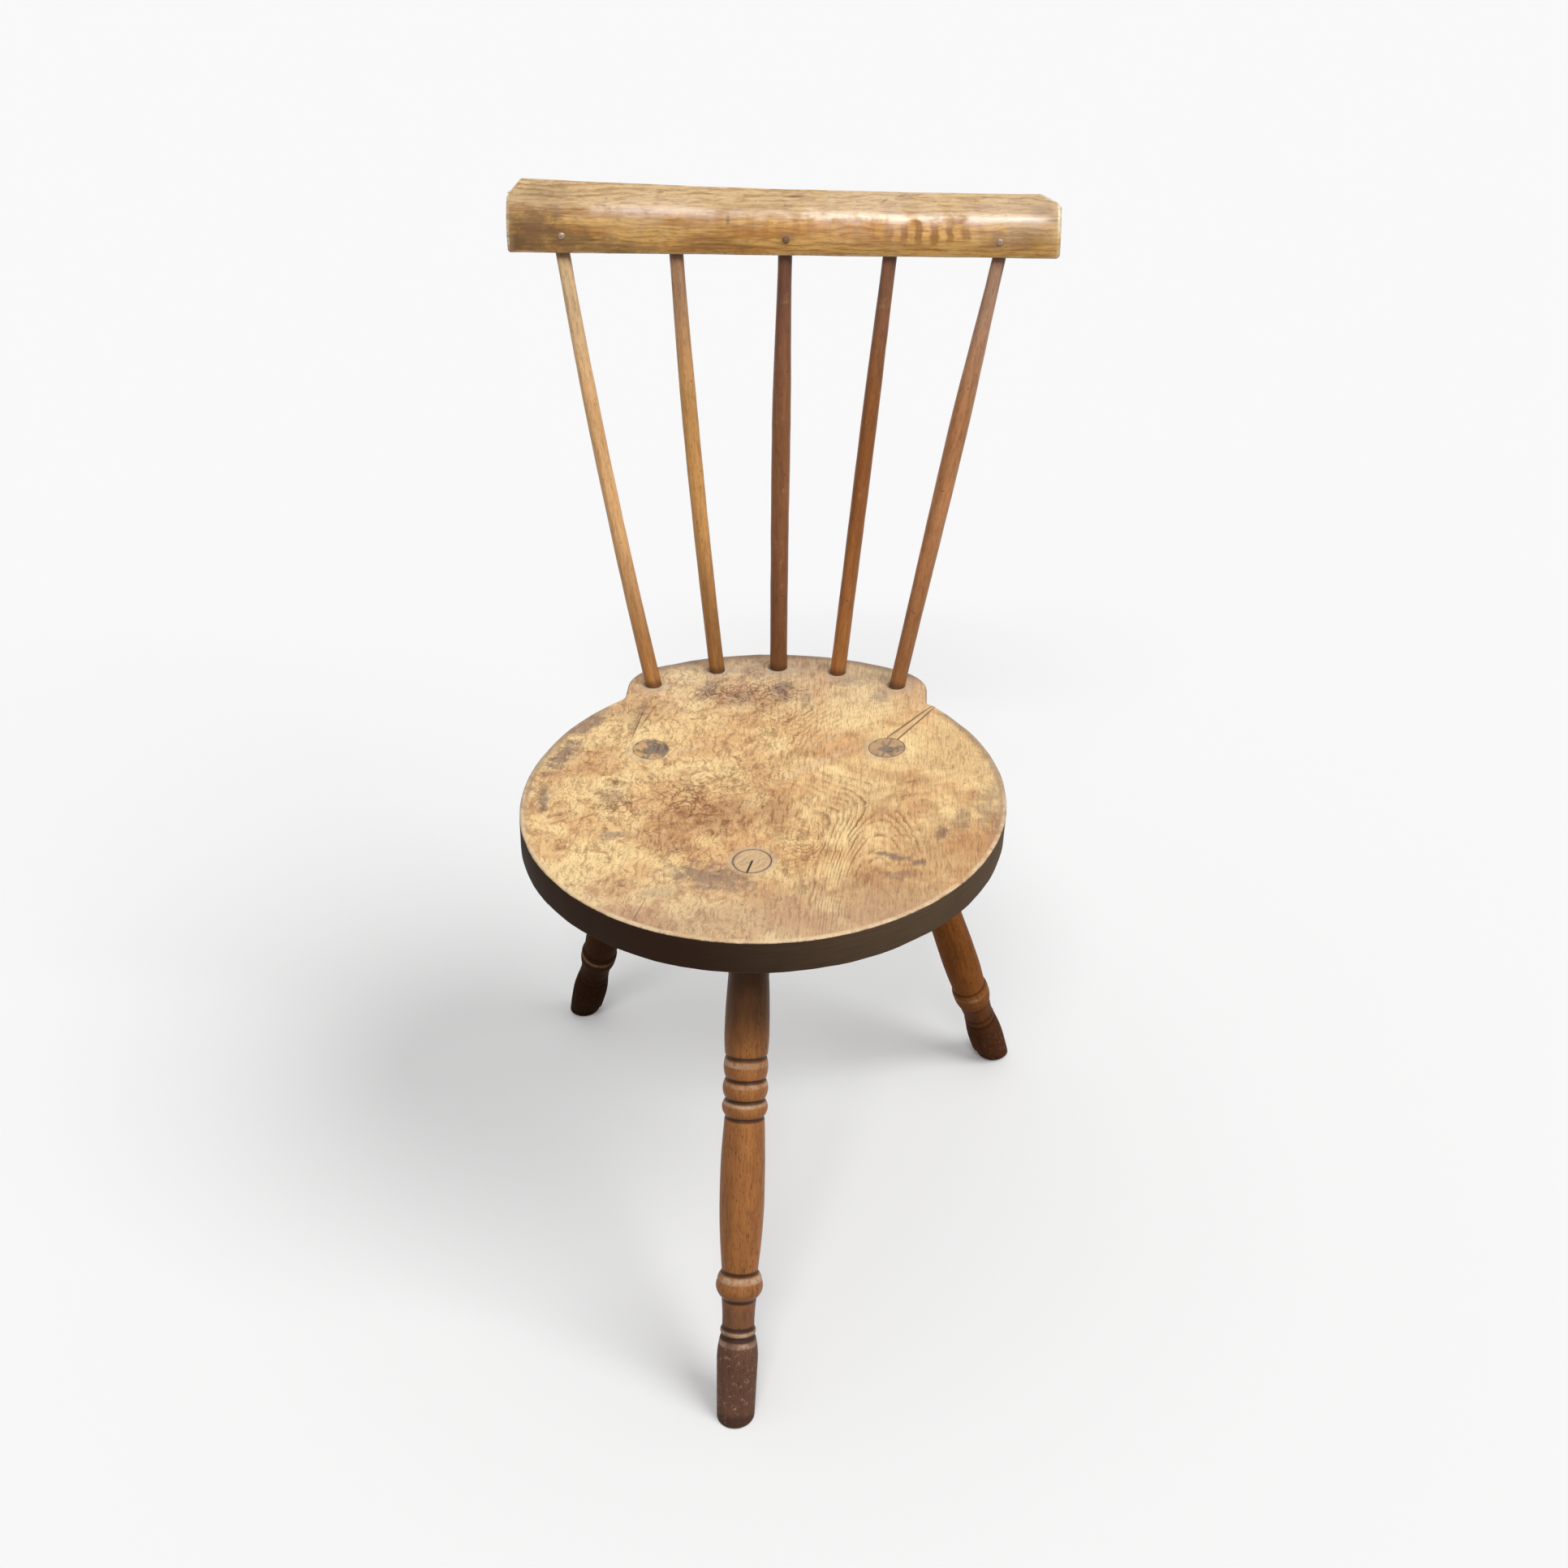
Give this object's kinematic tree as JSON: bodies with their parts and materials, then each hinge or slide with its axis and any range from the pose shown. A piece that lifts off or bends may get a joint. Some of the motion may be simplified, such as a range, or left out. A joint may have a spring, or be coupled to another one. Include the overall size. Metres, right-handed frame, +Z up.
{
  "type": "windsor side chair",
  "caption": "Country stick-back side chair: round plank seat with a tail, splayed turned legs tenoned through it, slender spindles and a straight half-round crest rail.",
  "frame": {"origin": "on the floor under the middle of the round seat, which is within a few millimetres of the middle of the box around the chair", "axes": "+Z up, the front of the seat towards -Y, the back towards +Y, +X to the right as seen from the front"},
  "size_m": [0.4407, 0.5667, 0.8096],
  "materials": {
    "seat_wood": "old waxed elm, honey coloured, stained and worn",
    "crest_wood": "old polished wood, golden tan",
    "spindle_wood": "old polished wood, brown",
    "leg_wood": "old polished wood, dark brown, rubbed at the turnings",
    "wedge_wood": "bare old wood",
    "nail_iron": "dull rubbed iron"
  },
  "bodies": {
    "root": {"seat": "seat_wood", "seat_patch": "seat_wood", "crest_rail": "crest_wood", "left_outer_spindle": "spindle_wood", "left_inner_spindle": "spindle_wood", "centre_spindle": "spindle_wood", "right_inner_spindle": "spindle_wood", "right_outer_spindle": "spindle_wood", "left_outer_spindle_wedge": "wedge_wood", "left_inner_spindle_wedge": "wedge_wood", "centre_spindle_wedge": "wedge_wood", "right_inner_spindle_wedge": "wedge_wood", "right_outer_spindle_wedge": "wedge_wood", "front_leg": "leg_wood", "rear_left_leg": "leg_wood", "rear_right_leg": "leg_wood", "front_leg_wedge": "wedge_wood", "rear_left_leg_wedge": "wedge_wood", "rear_right_leg_wedge": "wedge_wood", "left_crest_pin": "nail_iron", "centre_crest_pin": "nail_iron", "right_crest_pin": "nail_iron"}
  },
  "joints": []
}
